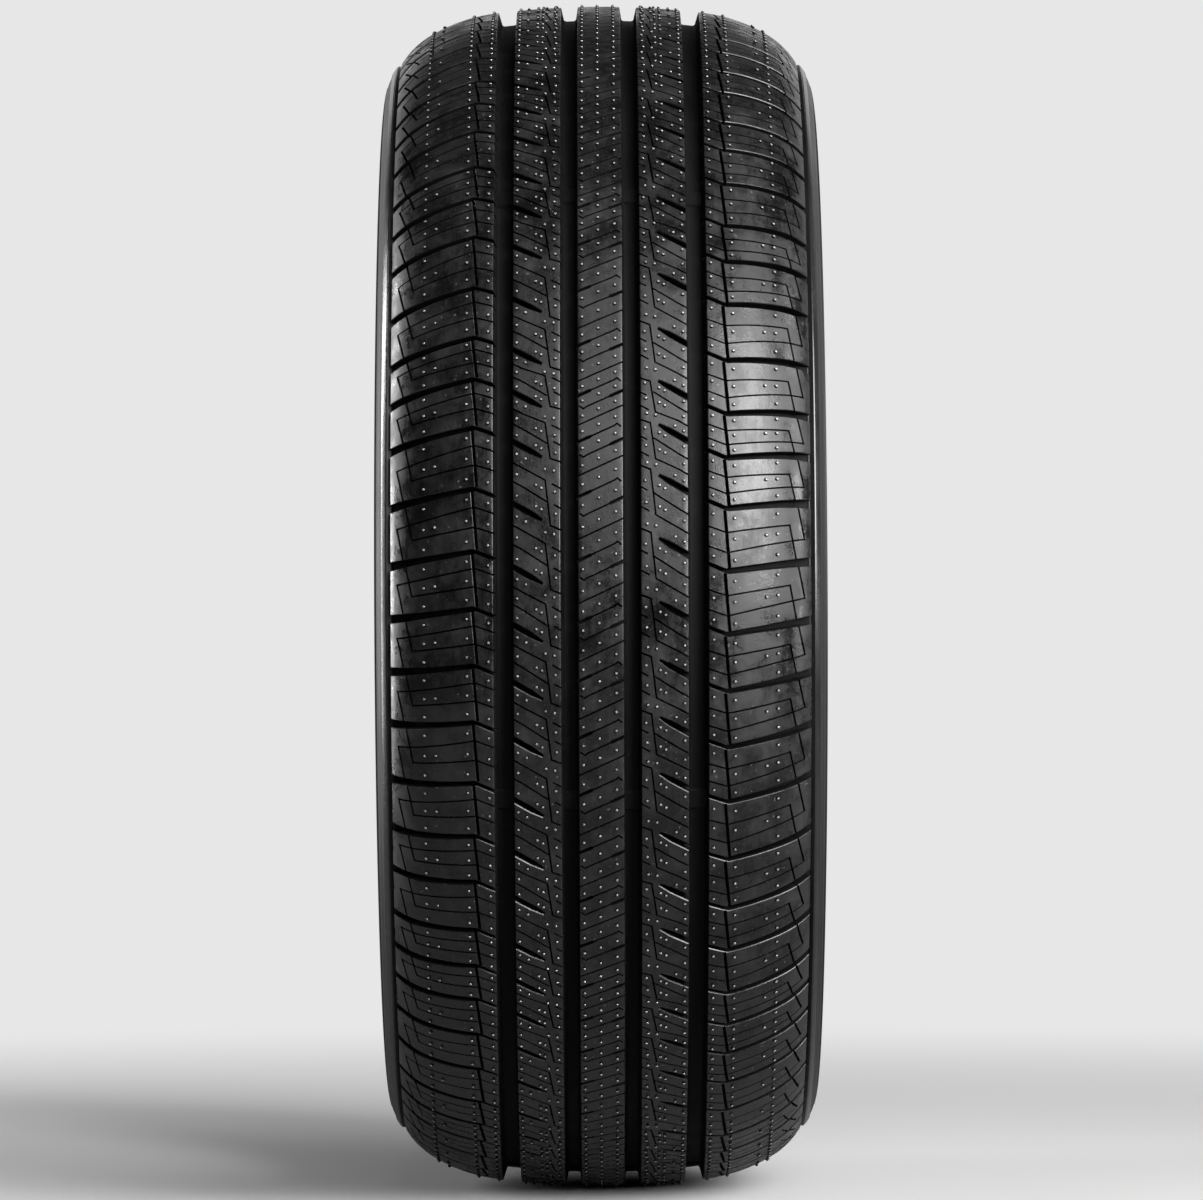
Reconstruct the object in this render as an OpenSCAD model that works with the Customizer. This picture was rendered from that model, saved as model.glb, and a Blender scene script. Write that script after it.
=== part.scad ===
// Passenger car tyre, low profile, for an 18 inch rim.
// The tyre stands upright on its tread and spins about Y. Its centre is the origin.
// Inside the modules the spin axis is Z, and the last module turns it to Y.

/* [Overall size] */
// Diameter of the bead seats, the same as on the rim
seat_d = 462; // [457:0.1:465]
// Height of the tyre from its bead seats to the crown of the tread
section_h = 107.85; // [95:0.05:125]
// Width over the two sidewalls at their widest
section_w = 243; // [225:0.5:265]

/* [Crown of the tread] */
// Radius of the middle arc across the tread
crown_arc_r = 480; // [420:5:650]
// Width of one shoulder arc and edge arc together, beside the middle arc
shoulder_w = 52.7; // [49:0.1:56]
// Radius of the arc that rolls off to the shoulder
rolloff_arc_r = 94; // [84:1:110]
// Width of the arc at the tread edge
edge_w = 15.7; // [13:0.1:18]
// Radius of the arc at the tread edge
edge_arc_r = 47; // [42:1:56]

/* [Walls] */
// How far the tread blocks end inside the widest point of the sidewall
tread_in = 8.8; // [7:0.1:11]
// Radius of the upper sidewall, from the tread edge to the widest point
upper_wall_r = 28; // [24:0.5:34]
// Thickness of tread, belts and liner at the crown
crown_t = 16.5; // [14:0.5:20]
// Wall at the widest part of the sidewall
sidewall_t = 9; // [7:0.5:12]
// Radius of the round inner shoulder
inner_shoulder_r = 48; // [40:1:54]
// How far under the tread edge the raised band of the upper sidewall starts
band_at = 4; // [2:0.1:6]
// Width of the raised band
band_w = 5.5; // [3:0.1:7]
// Height of the raised band
band_h = 0.8; // [0.4:0.1:1.2]

/* [Beads] */
// How far the outer face of the bead lies inside the widest point of the sidewall
bead_in = 20; // [17:0.1:23]
// Width of one bead at its base
bead_w = 21.5; // [17:0.5:25]
// Radius of the bead heel
heel_r = 5; // [3:0.5:6]
// Bevel of the bead toe
toe_bevel = 1.5; // [1:0.1:2]
// Thickness of the bead toe
toe_t = 6; // [5:0.1:8]
// Height over the bead seat where the inner side of the bead meets the wall
apex_h = 30; // [26:0.5:36]
// Height of the rim guard over the bead seat
guard_h = 20.2; // [18:0.1:23]
// How far the round edge of the rim guard is centred inside the widest point
guard_in = 8.9; // [7:0.1:12]
// Radius of the round edge of the rim guard
guard_r = 4; // [3:0.1:5]
// Radius of the hollow between bead face and rim guard
flange_hollow_r = 3.5; // [2.5:0.1:4.5]

/* [Main grooves] */
// Depth of the four grooves that run round the tyre
groove_depth = 8; // [6:0.1:9]
// Distance from the middle to the near edge of an inner groove
inner_groove_at = 12; // [10:0.1:14]
// Width of an inner groove at the tread face
inner_groove_w = 9.3; // [8:0.1:11]
// Distance from the middle to the near edge of an outer groove
outer_groove_at = 46.5; // [44:0.1:48]
// Width of an outer groove at the tread face
outer_groove_w = 10.6; // [9:0.1:12]
// How far each groove wall leans in from top to floor
groove_draft = 1.3; // [0.5:0.1:2]
// Bevel between a groove's walls and its floor
groove_bevel = 1.2; // [0.5:0.1:1.5]

/* [Shoulder blocks] */
// Depth of the cross grooves in the shoulder
cross_depth = 6; // [4:0.1:7]
// Width of a cross groove at its inner end
cross_w = 2.8; // [2:0.1:4]
// Width of a cross groove at the tread edge
cross_end_w = 5; // [3:0.1:6]
// Rise of the cross grooves towards the tread edge, in degrees
cross_slope = 8; // [4:0.5:12]
// Distance from the outer groove to the narrow groove that splits the shoulder
split_at = 10.2; // [8:0.1:12]
// Width of that narrow groove
split_w = 1.5; // [1:0.1:2.5]
// How far the narrow groove leans outwards over one block
split_lean = 2.4; // [0:0.1:3]
// Width of a cross groove between the outer groove and the narrow one
strip_w = 2; // [1.4:0.1:3]
// Fall of the cross grooves between the outer groove and the narrow one, in degrees
strip_slope = 22; // [16:0.5:28]
// How far inside the tread edge the floor of a cross groove starts to run out
run_out = 8.5; // [7:0.1:11]
// How far the shoulder blocks lie along the tread from those of the middle rib
shoulder_shift = 22.7; // [18:0.1:26]

/* [Rib blocks] */
// Depth of the notches in the two ribs beside the middle rib
notch_depth = 5.5; // [4:0.1:6.5]
// Width of a notch where it leaves the groove
notch_w = 3; // [2:0.1:4]
// Reach of a notch into its rib
notch_reach = 15.5; // [12:0.1:17]
// Fall of a notch, in degrees
notch_slope = 30; // [24:0.5:34]
// Share of a notch's length that keeps its full width
notch_full = 0.7; // [0.4:0.01:0.9]
// How far the notches lie along the tread from the blocks of the middle rib
rib_shift = 14.3; // [11:0.1:18]

/* [Hidden] */
$fn = 256;

// How far a cutter stands clear of the faces that it passes.
clear = 3;

seat_r = seat_d / 2;
outer_r = seat_r + section_h;
wide_z = section_w / 2;
tread_half = wide_z - tread_in;
rolloff_half = tread_half - edge_w;
crown_half = tread_half - shoulder_w;

// Centres and end angles of the three arcs across half the tread.
crown_a = asin(crown_half / crown_arc_r);
crown_c = [outer_r - crown_arc_r, 0];
rolloff_c = crown_c + (crown_arc_r - rolloff_arc_r) * [cos(crown_a), sin(crown_a)];
rolloff_a = asin((rolloff_half - rolloff_c[1]) / rolloff_arc_r);
edge_c = rolloff_c + (rolloff_arc_r - edge_arc_r) * [cos(rolloff_a), sin(rolloff_a)];

// Radius of an arc's surface at a distance from the middle of the tread.
function arc_x(c, r, z) = c[0] + sqrt(max(0, r * r - pow(z - c[1], 2)));
// Radius of the tread face, or of a surface some depth under it.
function face_r(z, depth = 0) =
    z < (crown_arc_r - depth) * sin(crown_a) ? arc_x(crown_c, crown_arc_r - depth, z)
    : z < rolloff_c[1] + (rolloff_arc_r - depth) * sin(rolloff_a)
        ? arc_x(rolloff_c, rolloff_arc_r - depth, z)
        : arc_x(edge_c, edge_arc_r - depth, z);

// Points along an arc from one angle to another, as [radius, distance from the middle].
function arc_points(c, r, from_a, to_a, steps, first = 0) =
    [for (i = [first:steps]) let (a = from_a + (to_a - from_a) * i / steps) c + r * [cos(a), sin(a)]];
// Points on the tread face, closer to each other towards the outer end where it bends more.
function face_points(from_z, to_z, steps, bend) =
    [for (i = [1:steps]) let (z = from_z + (to_z - from_z) * (1 - pow(1 - i / steps, bend))) [face_r(z), z]];

crown_points = [for (i = [0:4]) let (z = crown_half * i / 4) [face_r(z), z]];
rolloff_points = face_points(crown_half, rolloff_half, 5, 1.15);
edge_points = face_points(rolloff_half, tread_half, 4, 1.3);

// The upper sidewall starts at the tread edge and turns straight down at the widest point.
upper_a = asin(1 - tread_in / upper_wall_r);
wide_r = face_r(tread_half) - upper_wall_r * cos(upper_a);
upper_c = [wide_r, wide_z - upper_wall_r];
function band_a(length) = upper_a + length / upper_wall_r * 180 / PI;
band_from_a = band_a(band_at);
band_to_a = band_a(band_at + band_w);
band_side_a = band_a(band_h) - upper_a;

// The lower sidewall is the arc from the widest point to the rim guard just over the flange.
guard_c = [seat_r + guard_h, wide_z - guard_in];
guard_drop = wide_r - guard_c[0];
lower_wall_r = (guard_drop * guard_drop + guard_in * guard_in) / (2 * guard_in);
lower_c = [wide_r, wide_z - lower_wall_r];
lower_end_a = 90 + asin((guard_drop - guard_r) / lower_wall_r);
guard_from_a = 70;
face_z = wide_z - bead_in;
toe_z = face_z - bead_w;
flange_top_r = guard_c[0] - guard_r;
hollow_c = [flange_top_r - flange_hollow_r, face_z + flange_hollow_r];

outer_points = concat(
    crown_points, rolloff_points, edge_points,
    arc_points(upper_c, upper_wall_r, upper_a, band_from_a, 2, 1),
    arc_points(upper_c, upper_wall_r + band_h, band_from_a + band_side_a, band_to_a - band_side_a, 2),
    arc_points(upper_c, upper_wall_r, band_to_a, 90, 5),
    arc_points(lower_c, lower_wall_r, 90, lower_end_a, 6, 1),
    arc_points(guard_c, guard_r, guard_from_a, 180, 5),
    arc_points(hollow_c, flange_hollow_r, 0, -90, 4),
    arc_points([seat_r + heel_r, face_z - heel_r], heel_r, 90, 180, 5),
    [[seat_r, toe_z + toe_bevel], [seat_r + toe_bevel, toe_z]]
);

// The air space: a flat crown, a round shoulder and a straight run to the bead.
inner_bend_z = wide_z - sidewall_t - inner_shoulder_r;
inner_c = [arc_x(crown_c, crown_arc_r - crown_t, inner_bend_z) - inner_shoulder_r, inner_bend_z];
apex_a = 90 + asin((inner_c[0] - seat_r - apex_h) / inner_shoulder_r);
inner_points = concat(
    [[seat_r + toe_t, toe_z + toe_t / 2]],
    arc_points(inner_c, inner_shoulder_r, apex_a, 0, 12),
    [for (i = [3:-1:0]) let (z = inner_bend_z * i / 4) [arc_x(crown_c, crown_arc_r - crown_t, z), z]]
);
half_points = concat(outer_points, inner_points);

// Section of one main groove, its near edge at a distance from the middle.
module groove_section(at, w) {
    floor_r = face_r(at + w / 2) - groove_depth;
    top_r = outer_r + clear;
    polygon([
        [floor_r, at + groove_draft + groove_bevel], [floor_r, at + w - groove_draft - groove_bevel],
        [floor_r + groove_bevel, at + w - groove_draft], [face_r(at + w), at + w],
        [top_r, at + w + groove_draft / 4], [top_r, at - groove_draft / 4], [face_r(at), at],
        [floor_r + groove_bevel, at + groove_draft]
    ]);
}

module section() {
    other_half = [for (i = [len(half_points) - 2:-1:1]) [half_points[i][0], -half_points[i][1]]];
    difference() {
        polygon(concat(half_points, other_half));
        for (side = [0, 1]) mirror([0, side]) {
            groove_section(inner_groove_at, inner_groove_w);
            groove_section(outer_groove_at, outer_groove_w);
        }
    }
}

// Lengths of the tread blocks round the tyre, in steps of one common angle. They vary to
// spread the tread's noise. The first two dozen are read from the tread, the rest follow suit.
block_steps = [
    9, 8, 9, 8, 10, 8, 9, 10, 8, 9, 11, 10, 8, 9, 11, 11, 10, 10, 10, 11, 10, 9, 10, 8, 8,
    9, 10, 11, 9, 8, 9, 11, 10, 9, 8, 10, 9, 11, 10, 8, 9, 9, 10, 11, 9, 8, 10, 9, 8, 11,
    10, 9, 8, 9, 10, 11, 11, 9, 8, 10, 9, 8, 9, 10, 11, 9, 10, 9, 10, 11, 9, 10, 9
];
blocks = [0:len(block_steps) - 1];
function step_sum(n) = n == 0 ? 0 : block_steps[n - 1] + step_sum(n - 1);
step_angle = 360 / step_sum(len(block_steps));
// Where the first block starts, from the side that faces +X.
first_angle = -77.6;
function block_angle(k) = first_angle + step_angle * step_sum(k);
function along(angle) = angle * PI / 180 * outer_r;
function turned(length) = length / outer_r * 180 / PI;

// Distances from the middle: where the cross grooves open into the outer groove and where
// they leave the tread edge, and the middle of the narrow groove.
open_z = outer_groove_at + outer_groove_w - 2 * groove_draft;
leave_z = tread_half + clear;
split_z = outer_groove_at + outer_groove_w + split_at;

// Raises a plan into a cutter. Its first axis runs along the tread and its second across it.
module raise(floor_r) {
    rotate([90, 0, 90]) translate([0, 0, floor_r]) linear_extrude(outer_r + clear - floor_r) children();
}

// A slab whose floor keeps one depth under the shoulder and runs out at the step below it.
module shoulder_slab() {
    end_z = tread_half - run_out;
    wide = 2 * (along(step_angle * max(block_steps)) + clear);
    step = upper_c + (upper_wall_r + clear / 2) * [cos(upper_a), sin(upper_a)];
    rotate([90, 0, 0]) linear_extrude(wide, center = true) polygon(concat(
        [for (i = [0:4]) let (z = open_z + (end_z - open_z) * i / 4) [face_r(z, cross_depth), z]],
        [step, [outer_r + clear, leave_z], [outer_r + clear, open_z]]
    ));
}

// Cross groove of one shoulder block, with the narrow groove that runs on to the next one.
module shoulder_cutter(length) {
    fall = (split_z - open_z) * tan(strip_slope);
    rise = (leave_z - split_z) * tan(cross_slope);
    lean = split_lean / 2;
    end_s = length + cross_w / 8;
    intersection() {
        raise(wide_r) polygon([
            [-fall - strip_w / 2, open_z], [-strip_w / 2, split_z - split_w / 2 - lean],
            [-cross_w / 2, split_z + split_w],
            [-rise - cross_end_w / 2, leave_z], [-rise + cross_end_w / 2, leave_z],
            [cross_w / 2, split_z - lean + split_w / 2],
            [end_s - cross_w / 2, split_z + lean + split_w / 2],
            [end_s - strip_w / 2, split_z + lean - split_w / 2],
            [strip_w / 2, split_z - lean - split_w / 2],
            [-fall + strip_w / 2, open_z]
        ]);
        shoulder_slab();
    }
}

// Closed notch of one rib block, with an end that tapers to a blunt tip.
module notch_cutter() {
    mouth_z = outer_groove_at + groove_draft;
    reach = groove_draft + notch_reach;
    fall = reach * tan(notch_slope);
    raise(face_r(mouth_z - reach) - notch_depth) polygon([
        [-notch_w / 2, mouth_z], [notch_w / 2, mouth_z],
        [notch_w / 2 - notch_full * fall, mouth_z - notch_full * reach],
        [-fall, mouth_z - reach],
        [-notch_w / 2 - 0.9 * fall, mouth_z - 0.9 * reach]
    ]);
}

// One side's shoulder and rib. The left side is the right one turned end for end.
module side_pattern(side) {
    over = side < 0 ? 180 : 0;
    for (k = blocks) {
        // The narrow groove runs on to the next block, which is the one before on the turned side.
        steps = block_steps[side > 0 ? k : (k + len(block_steps) - 1) % len(block_steps)];
        rotate(block_angle(k) + side * turned(shoulder_shift)) rotate([over, 0, 0])
            shoulder_cutter(along(step_angle * steps));
        rotate(block_angle(k) + side * turned(rib_shift)) rotate([over, 0, 0]) notch_cutter();
    }
}

module tyre() {
    color([0.07, 0.07, 0.075]) rotate([-90, 0, 0]) difference() {
        rotate_extrude() section();
        side_pattern(1);
        side_pattern(-1);
    }
}

tyre();
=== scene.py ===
# %% [markdown]
# # A car tyre, looked at from its tread
# The CAD model gives the tyre's true size, its section and its large cuts. This file gives it its
# looks: rubber blocks with fine cuts, grooves, sidewalls, small moulding marks and rubber finishes.
# The tread is made flat, as a mould maker draws it, and is then wrapped round the carcass, because
# cuts are far easier to place on a flat strip than on a round, crowned wheel.

# %% Load the frame
import math

import bpy
import numpy as np
from mathutils import Matrix, Vector


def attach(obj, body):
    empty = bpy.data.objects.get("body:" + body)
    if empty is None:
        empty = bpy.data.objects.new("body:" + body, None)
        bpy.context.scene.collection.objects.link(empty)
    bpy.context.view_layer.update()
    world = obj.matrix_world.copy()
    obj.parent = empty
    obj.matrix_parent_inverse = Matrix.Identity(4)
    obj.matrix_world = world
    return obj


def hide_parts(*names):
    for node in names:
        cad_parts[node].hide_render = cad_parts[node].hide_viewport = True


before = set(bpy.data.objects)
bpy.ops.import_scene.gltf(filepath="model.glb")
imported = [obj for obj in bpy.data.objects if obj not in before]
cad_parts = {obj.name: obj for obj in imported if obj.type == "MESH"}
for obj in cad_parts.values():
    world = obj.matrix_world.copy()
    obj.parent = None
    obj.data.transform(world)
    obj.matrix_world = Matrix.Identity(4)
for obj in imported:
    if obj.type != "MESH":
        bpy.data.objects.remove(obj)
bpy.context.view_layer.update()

# %% [markdown]
# ## View settings
# The Standard view transform shows a colour as it is written, so black rubber stays black.

# %% Choose the view transform
scene = bpy.context.scene
scene.view_settings.view_transform = "Standard"
print("view transform:", scene.view_settings.view_transform)

# %% [markdown]
# ## Camera
# The tread is seen straight on, with the axle level and from four metres away, through a long lens.
# The tyre leans a quarter of a degree to the left in the picture, so the camera is rolled by that.
# A lens this long keeps the tyre's sides almost parallel, as they are in the picture.

# %% Place the camera
TREAD_R = 0.33885
CAMERA_AWAY = 4.07
camera_data = bpy.data.cameras.new("camera")
camera_data.lens = 211.1
camera_data.sensor_width = 36
camera_data.shift_x = 0.0005
camera_data.shift_y = -0.0033
camera = bpy.data.objects.new("camera", camera_data)
scene.collection.objects.link(camera)
camera.location = (CAMERA_AWAY, 0, 0)
camera.rotation_euler = (math.radians(90), math.radians(0.23), math.radians(90))
scene.camera = camera
print("camera", round(camera.location.x, 3), "m from the axle")

# %% [markdown]
# ## Studio
# The tyre stands on a pale sheet that bends up far behind it, as in a photo studio. The sheet is a
# plane whose far edge is extruded back and up in small steps, so no line shows where floor and
# wall meet. The floor is long enough for the camera to walk round the tyre.

# %% Helpers for selecting
def pick(*things):
    """Deselects everything, then selects these objects and makes the first one active."""
    bpy.ops.object.select_all(action="DESELECT")
    for thing in things:
        thing.select_set(True)
    if things:
        bpy.context.view_layer.objects.active = things[0]


def edit(thing, mode="EDGE"):
    pick(thing)
    bpy.ops.object.mode_set(mode="EDIT")
    bpy.ops.mesh.select_mode(type=mode)
    bpy.ops.mesh.select_all(action="SELECT")


def leave():
    bpy.ops.object.mode_set(mode="OBJECT")


# %% Lay the studio sheet
SHEET_LONG, SHEET_WIDE, SHEET_FORWARD = 24, 28, 3
BEND_R, BEND_STEPS, WALL_H = 1.6, 12, 4
pick()
bpy.ops.mesh.primitive_plane_add(size=1, location=(0, 0, -TREAD_R))
sheet = bpy.context.object
sheet.name = "studio_sheet"
sheet.data.transform(Matrix.Diagonal((SHEET_LONG, SHEET_WIDE, 1, 1)))
sheet.data.transform(Matrix.Translation((SHEET_FORWARD, 0, 0)))
edit(sheet)
bpy.ops.mesh.select_all(action="DESELECT")
leave()
for edge in sheet.data.edges:
    edge.select = all(sheet.data.vertices[i].co.x < 0 for i in edge.vertices)
for vertex in sheet.data.vertices:
    vertex.select = vertex.co.x < 0
bpy.ops.object.mode_set(mode="EDIT")
for step in range(BEND_STEPS):
    lean = math.radians(90 * (step + 0.5) / BEND_STEPS)
    length = BEND_R * math.radians(90) / BEND_STEPS
    bpy.ops.mesh.extrude_region_move(
        TRANSFORM_OT_translate={"value": (-length * math.cos(lean), 0, length * math.sin(lean))})
bpy.ops.mesh.extrude_region_move(TRANSFORM_OT_translate={"value": (0, 0, WALL_H)})
leave()
pick(sheet)
bpy.ops.object.shade_smooth()
bpy.ops.object.transform_apply(location=True, rotation=True, scale=True)
print("studio sheet faces:", len(sheet.data.polygons))

# %% [markdown]
# ## Light
# One broad soft box hangs to the right of the camera, well above the axle. The tyre mirrors it as
# a bright band down the upper half of the right shoulder. A weaker, taller panel high in front
# lights the middle ribs, and a tall narrow box on each side draws the thin bright lines on the
# tyre's two edges. The room itself is dim, so that the grooves stay dark, and a grid in front of
# each box keeps its light off the floor beneath it. Only the camera sees the room as pale.

# %% Set the lamps
def soft_lamp(name, place, target, size, watts):
    data = bpy.data.lights.new(name, "AREA")
    data.shape = "RECTANGLE"
    data.size, data.size_y = size
    data.energy = watts
    data.spread = math.radians(90)
    lamp = bpy.data.objects.new(name, data)
    scene.collection.objects.link(lamp)
    lamp.location = place
    lamp.rotation_euler = (Vector(target) - Vector(place)).to_track_quat("-Z", "Y").to_euler()
    lamp.visible_camera = False
    return lamp


soft_lamp("key_lamp", (1.78, 1.52, 1.12), (0.2, 0, 0.3), (1.6, 2.3), 52)
soft_lamp("left_lamp", (-0.75, -1.9, 0.3), (0.1, 0, 0.1), (0.28, 1.5), 11)
soft_lamp("right_lamp", (0.25, 2.0, 0.6), (0.1, 0, 0.1), (0.3, 1.7), 7)
soft_lamp("front_panel", (2.65, 0.3, 1.95), (0, 0, 0.4), (1.2, 3.2), 9)

DIM, PALE = 0.05, 0.80
world = bpy.data.worlds.new("room")
scene.world = world
world.use_nodes = True
room = world.node_tree
room.nodes["Background"].inputs["Color"].default_value = (1, 1, 1, 1)
eye = room.nodes.new("ShaderNodeLightPath")
strength = room.nodes.new("ShaderNodeMapRange")
strength.inputs["To Min"].default_value = DIM
strength.inputs["To Max"].default_value = PALE
room.links.new(eye.outputs["Is Camera Ray"], strength.inputs["Value"])
room.links.new(strength.outputs["Result"], room.nodes["Background"].inputs["Strength"])

# %% [markdown]
# ## The crown
# Across the tread the tyre isn't flat: a wide arc in the middle, a tighter one to the shoulder and
# a tight one at the tread edge. These are the same arcs as in the CAD model, in millimetres.
# `crown` gives the height and the tilt of that surface at a distance from the middle, and `wrap`
# carries a point of the flat tread drawing onto the wheel.

# %% Arcs across the tread
CROWN_R, ROLLOFF_R, EDGE_R = 480.0, 94.0, 47.0
CROWN_HALF, ROLLOFF_HALF, TREAD_HALF = 60.0, 97.0, 112.7
OUTER_R, SEAT_R, WIDE_HALF = 338.85, 231.0, 121.5
INNER_GROOVE, OUTER_GROOVE = (12, 21.3), (46.5, 57.1)
ROUND = 2 * math.pi * OUTER_R

crown_tilt = math.asin(CROWN_HALF / CROWN_R)
crown_mid = np.array([0, OUTER_R - CROWN_R])
rolloff_mid = crown_mid + (CROWN_R - ROLLOFF_R) * np.array([math.sin(crown_tilt), math.cos(crown_tilt)])
rolloff_tilt = math.asin((ROLLOFF_HALF - rolloff_mid[0]) / ROLLOFF_R)
edge_mid = rolloff_mid + (ROLLOFF_R - EDGE_R) * np.array([math.sin(rolloff_tilt), math.cos(rolloff_tilt)])


def crown(x):
    """Radius of the tread face and its tilt, at distances across the tread."""
    x = np.asarray(x, float)
    far = np.abs(x)
    outer_lean = np.where(far < ROLLOFF_HALF, (far - rolloff_mid[0]) / ROLLOFF_R,
                          (far - edge_mid[0]) / EDGE_R)
    lean = np.where(far < CROWN_HALF, far / CROWN_R, outer_lean)
    tilt = np.arcsin(np.clip(lean, 0, 0.98))
    mid = np.where(far < CROWN_HALF, crown_mid[1], np.where(far < ROLLOFF_HALF, rolloff_mid[1], edge_mid[1]))
    arc = np.where(far < CROWN_HALF, CROWN_R, np.where(far < ROLLOFF_HALF, ROLLOFF_R, EDGE_R))
    return mid + arc * np.cos(tilt), tilt * np.sign(x)


def points_of(thing):
    co = np.empty(len(thing.data.vertices) * 3)
    thing.data.vertices.foreach_get("co", co)
    return co.reshape(-1, 3)


def put_points(thing, co):
    thing.data.vertices.foreach_set("co", np.ascontiguousarray(co, np.float32).ravel())
    thing.data.update()


def wrap(thing):
    """Carries a flat mesh (x across, y along the tread, z up, in mm) onto the wheel, in metres."""
    x, s, z = points_of(thing).T
    radius, tilt = crown(x)
    radius, across, turn = radius + z * np.cos(tilt), x + z * np.sin(tilt), s / OUTER_R
    put_points(thing, np.column_stack([radius * np.cos(turn), across, -radius * np.sin(turn)]) / 1000)


print("tread edge radius", round(float(crown(TREAD_HALF)[0]), 2), "mm, tilt",
      round(math.degrees(float(crown(TREAD_HALF)[1])), 1), "degrees")

# %% [markdown]
# ## Block lengths
# The blocks of a tread have several lengths in a mixed order, which spreads the sound they make on
# the road. Each number counts steps of one small angle. The shapes are drawn for a block of any
# length, so one drawing serves for all of them.

# %% Lengths and places of the blocks
STEPS = [9, 8, 9, 8, 10, 8, 9, 10, 8, 9, 11, 10, 8, 9, 11, 11, 10, 10, 10, 11, 10, 9, 10, 8, 8,
         9, 10, 11, 9, 8, 9, 11, 10, 9, 8, 10, 9, 11, 10, 8, 9, 9, 10, 11, 9, 8, 10, 9, 8, 11,
         10, 9, 8, 9, 10, 11, 11, 9, 8, 10, 9, 8, 9, 10, 11, 9, 10, 9, 10, 11, 9, 10, 9]
UNIT = ROUND / sum(STEPS)
FIRST = -77.6 / 360 * ROUND
SHOULDER_SHIFT, RIB_SHIFT = 22.7, 14.3
COUNT = len(STEPS)
starts = [FIRST + UNIT * sum(STEPS[:k]) for k in range(COUNT)]


def block(k):
    """Start of block k along the tread, and its length; k may run past either end."""
    lap, place = divmod(k, COUNT)
    return starts[place] + lap * ROUND, STEPS[place] * UNIT


print(COUNT, "blocks from", round(min(STEPS) * UNIT, 1), "to", round(max(STEPS) * UNIT, 1), "mm long")

# %% [markdown]
# ## Solids made from a grid
# Ribs and cutters are the same kind of thing: a flat grid that is extruded up one or more storeys,
# and whose points are then moved to their places. `storeys` makes the plain solid, and a rule
# says where the points of each storey go. A cutter follows a path of points with mitred corners.

# %% Helpers for grid solids
def storeys(name, across, along, count):
    """A closed solid of across by along cells with some storeys, each point in plain counts."""
    pick()
    bpy.ops.mesh.primitive_grid_add(x_subdivisions=across, y_subdivisions=along, size=2)
    solid = bpy.context.object
    solid.name = name
    edit(solid, "FACE")
    for _ in range(count):
        bpy.ops.mesh.extrude_region_move(TRANSFORM_OT_translate={"value": (0, 0, 1)})
    leave()
    return solid


def outwards(thing):
    edit(thing, "FACE")
    bpy.ops.mesh.normals_make_consistent(inside=False)
    leave()


CELL = 4.5


def cutter(name, path, width, depth, bevel=0.0, foot=0.0):
    """A cutter along a path of (across, along) points. Width may be one number or one for each."""
    path = np.array(path, float)
    width = np.full(len(path), width, float) if np.isscalar(width) else np.array(width, float)
    fine_path, fine_width = [path[0]], [width[0]]
    for a, b, wa, wb in zip(path[:-1], path[1:], width[:-1], width[1:]):
        parts = max(1, math.ceil(abs(b[0] - a[0]) / CELL))
        for i in range(1, parts + 1):
            fine_path.append(a + (b - a) * i / parts)
            fine_width.append(wa + (wb - wa) * i / parts)
    path, width = np.array(fine_path), np.array(fine_width)
    run = np.diff(path, axis=0)
    side = np.column_stack([-run[:, 1], run[:, 0]]) / np.linalg.norm(run, axis=1)[:, None]
    before, after = np.vstack([side[:1], side]), np.vstack([side, side[-1:]])
    mitre = before + after
    mitre /= np.linalg.norm(mitre, axis=1)[:, None]
    mitre /= np.maximum((mitre * before).sum(1), 0.5)[:, None]
    levels = [(-depth, -foot)] + ([(-depth + foot, 0)] if foot else []) + (
        [(-bevel, 0), (1.0, bevel + 1.0)] if bevel else [(1.0, 0)])
    solid = storeys(name, 1, len(path) - 1, len(levels) - 1)
    co = points_of(solid)
    row = np.rint((co[:, 1] + 1) / 2 * (len(path) - 1)).astype(int)
    level = np.rint(co[:, 2]).astype(int)
    height = np.array([z for z, _ in levels])[level]
    half = width[row] / 2 + np.array([w for _, w in levels])[level]
    plan = path[row] + mitre[row] * (co[:, 0] * half)[:, None]
    put_points(solid, np.column_stack([plan, height]))
    outwards(solid)
    return solid


def joined(name, things):
    pick(*things)
    bpy.ops.object.join()
    things[0].name = name
    return things[0]


def copied(thing, along, turned):
    """A copy with its own mesh, moved along the tread, and turned end for end if asked."""
    twin = thing.copy()
    twin.data = thing.data.copy()
    scene.collection.objects.link(twin)
    turn = Matrix.Rotation(math.pi if turned else 0, 4, "Z")
    twin.data.transform(Matrix.Translation((0, along, 0)) @ turn)
    return twin


LONGEST_REACH = 80


def repeated(name, draw, shift, turned=False):
    """Draws a set of cutters once for each block length and copies it to all blocks of the bar."""
    masters = {steps: draw(steps * UNIT) for steps in sorted(set(STEPS))}
    copies = []
    for k in range(-COUNT, 2 * COUNT):
        start = block(k)[0]
        length = block(k - 1 if turned else k)[1]
        if abs(start) < ROUND / 2 + LONGEST_REACH:
            copies.append(copied(masters[round(length / UNIT)], start + shift, turned))
    for master in masters.values():
        bpy.data.objects.remove(master)
    return joined(name, copies)


# %% [markdown]
# ## Ribs
# The main grooves leave five ribs. Each is one long bar, a little wider at its foot, and its upper
# edges are rounded in three steps, where the groove's edge catches the light. The fine cells let
# the bar bend smoothly round the wheel later.

# %% Make the five bars
EDGE_ROUND, RIB_FOOT = 0.6, 7.6
CELLS_ALONG = 440
SEAM = -0.5 * ROUND


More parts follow.
